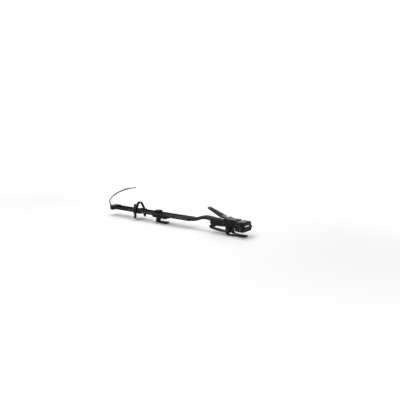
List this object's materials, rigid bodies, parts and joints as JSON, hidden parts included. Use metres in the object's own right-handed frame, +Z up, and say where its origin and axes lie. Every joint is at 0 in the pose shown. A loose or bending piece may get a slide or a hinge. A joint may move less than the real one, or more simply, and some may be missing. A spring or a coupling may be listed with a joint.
{
  "type": "roof mounted bike carrier",
  "caption": "Fork-mount roof carrier for a bicycle: long wheel tray with strap, raised neck, head with a through-axle sleeve and torque lever, tool-free bar clamps and a lock cable.",
  "frame": {"origin": "middle of the front foot's rubber seat, on top of the front crossbar, under the through axle", "axes": "+X forward along the carrier, +Y to its left, +Z up, square to the crossbars' top"},
  "size_m": [1.3749, 0.1313, 0.2509],
  "materials": {
    "anodised_aluminium": "dark anodised extrusion, satin",
    "black_plastic": "black glass-filled nylon, fine moulded texture",
    "grey_plastic": "dark grey moulded nylon",
    "seat_rubber": "ribbed black rubber",
    "strap_rubber": "black moulded elastomer, ladder teeth",
    "black_steel": "black powder coated steel",
    "dark_steel": "black zinc plated steel",
    "zinc_steel": "zinc plated steel",
    "cable_sheath": "black vinyl sheath on steel cable",
    "white_plate": "plain white plate, bare"
  },
  "bodies": {
    "carrier": {"wheel_tray": "anodised_aluminium", "tray_end_cap": "black_plastic", "cable_ferrules": "dark_steel", "lock_cable": "cable_sheath", "neck_beam": "anodised_aluminium", "neck_bolts": "zinc_steel", "neck_cross_bolt": "black_steel", "head_housing": "black_plastic", "front_foot": "black_plastic", "front_pad": "seat_rubber", "axle_sleeve": "dark_steel", "blank_plate": "white_plate", "lock_bosses": "grey_plastic", "lever_pin": "dark_steel"},
    "torque_lever": {"torque_lever": "black_plastic", "lever_grip": "grey_plastic"},
    "clamp_rod": {"clamp_rod": "dark_steel"},
    "claw": {"bar_claw": "black_steel", "claw_pad": "seat_rubber", "cam_pin": "dark_steel"},
    "cam_lever": {"cam_lever": "black_plastic"},
    "head_lock": {"head_lock_barrel": "dark_steel"},
    "cable_lock": {"cable_lock_barrel": "dark_steel"},
    "rear_foot": {"rear_foot": "black_plastic", "rear_pad": "seat_rubber", "knob_washer": "zinc_steel"},
    "rear_claw": {"rear_claw": "black_steel", "rear_claw_pad": "seat_rubber"},
    "rear_knob": {"rear_knob": "black_plastic", "rear_bolt": "zinc_steel"},
    "strap": {"strap_cradle": "black_plastic", "wheel_strap": "strap_rubber", "rim_pad": "seat_rubber", "strap_rivets": "dark_steel", "buckle_body": "black_plastic", "buckle_pin": "dark_steel"},
    "buckle": {"buckle_lever": "grey_plastic"}
  },
  "joints": [
    {"name": "torque_lever_swing", "type": "hinge", "parent": "carrier", "child": "torque_lever", "pos_m": [-0.122, 0, 0.06707], "axis": [0, 1, 0], "range_deg": [-14, 95]},
    {"name": "clamp_rod_push", "type": "slide", "parent": "carrier", "child": "clamp_rod", "axis": [0.9892, 0, -0.1465], "range_m": [-0.0012, 0.0003]},
    {"name": "claw_drop", "type": "slide", "parent": "carrier", "child": "claw", "axis": [0, 0, -1], "range_m": [0, 0.008]},
    {"name": "cam_lever_swing", "type": "hinge", "parent": "claw", "child": "cam_lever", "pos_m": [-0.096, 0, -0.007], "axis": [0, -1, 0], "range_deg": [0, 75]},
    {"name": "head_lock_turn", "type": "hinge", "parent": "carrier", "child": "head_lock", "pos_m": [0.024, -0.06, 0.023], "axis": [0, 1, 0], "range_deg": [0, 90]},
    {"name": "cable_lock_turn", "type": "hinge", "parent": "carrier", "child": "cable_lock", "pos_m": [-1.285, -0.014, 0.0275], "axis": [1, 0, 0], "range_deg": [0, 90]},
    {"name": "rear_foot_slide", "type": "slide", "parent": "carrier", "child": "rear_foot", "axis": [1, 0, 0], "range_m": [-0.05, 0.09]},
    {"name": "rear_knob_turn", "type": "hinge", "parent": "rear_foot", "child": "rear_knob", "pos_m": [-0.756, 0, 0.03], "axis": [0, 0, 1], "range_deg": [0, 770]},
    {"name": "rear_claw_drop", "type": "slide", "parent": "rear_foot", "child": "rear_claw", "axis": [0, 0, -1], "range_m": [0, 0.0032]},
    {"name": "strap_slide", "type": "slide", "parent": "carrier", "child": "strap", "axis": [1, 0, 0], "range_m": [-0.12, 0.06]},
    {"name": "buckle_swing", "type": "hinge", "parent": "strap", "child": "buckle", "pos_m": [-0.957, -0.04126, 0.07604], "axis": [-1, 0, 0], "range_deg": [0, 100]}
  ],
  "couplings": [
    {"joint": "clamp_rod_push", "follows": "torque_lever_swing", "m_per_rad": -0.00066},
    {"joint": "claw_drop", "follows": "cam_lever_swing", "m_per_rad": 0.0061},
    {"joint": "rear_knob_turn", "follows": "rear_claw_drop", "rad_per_m": 4184}
  ]
}
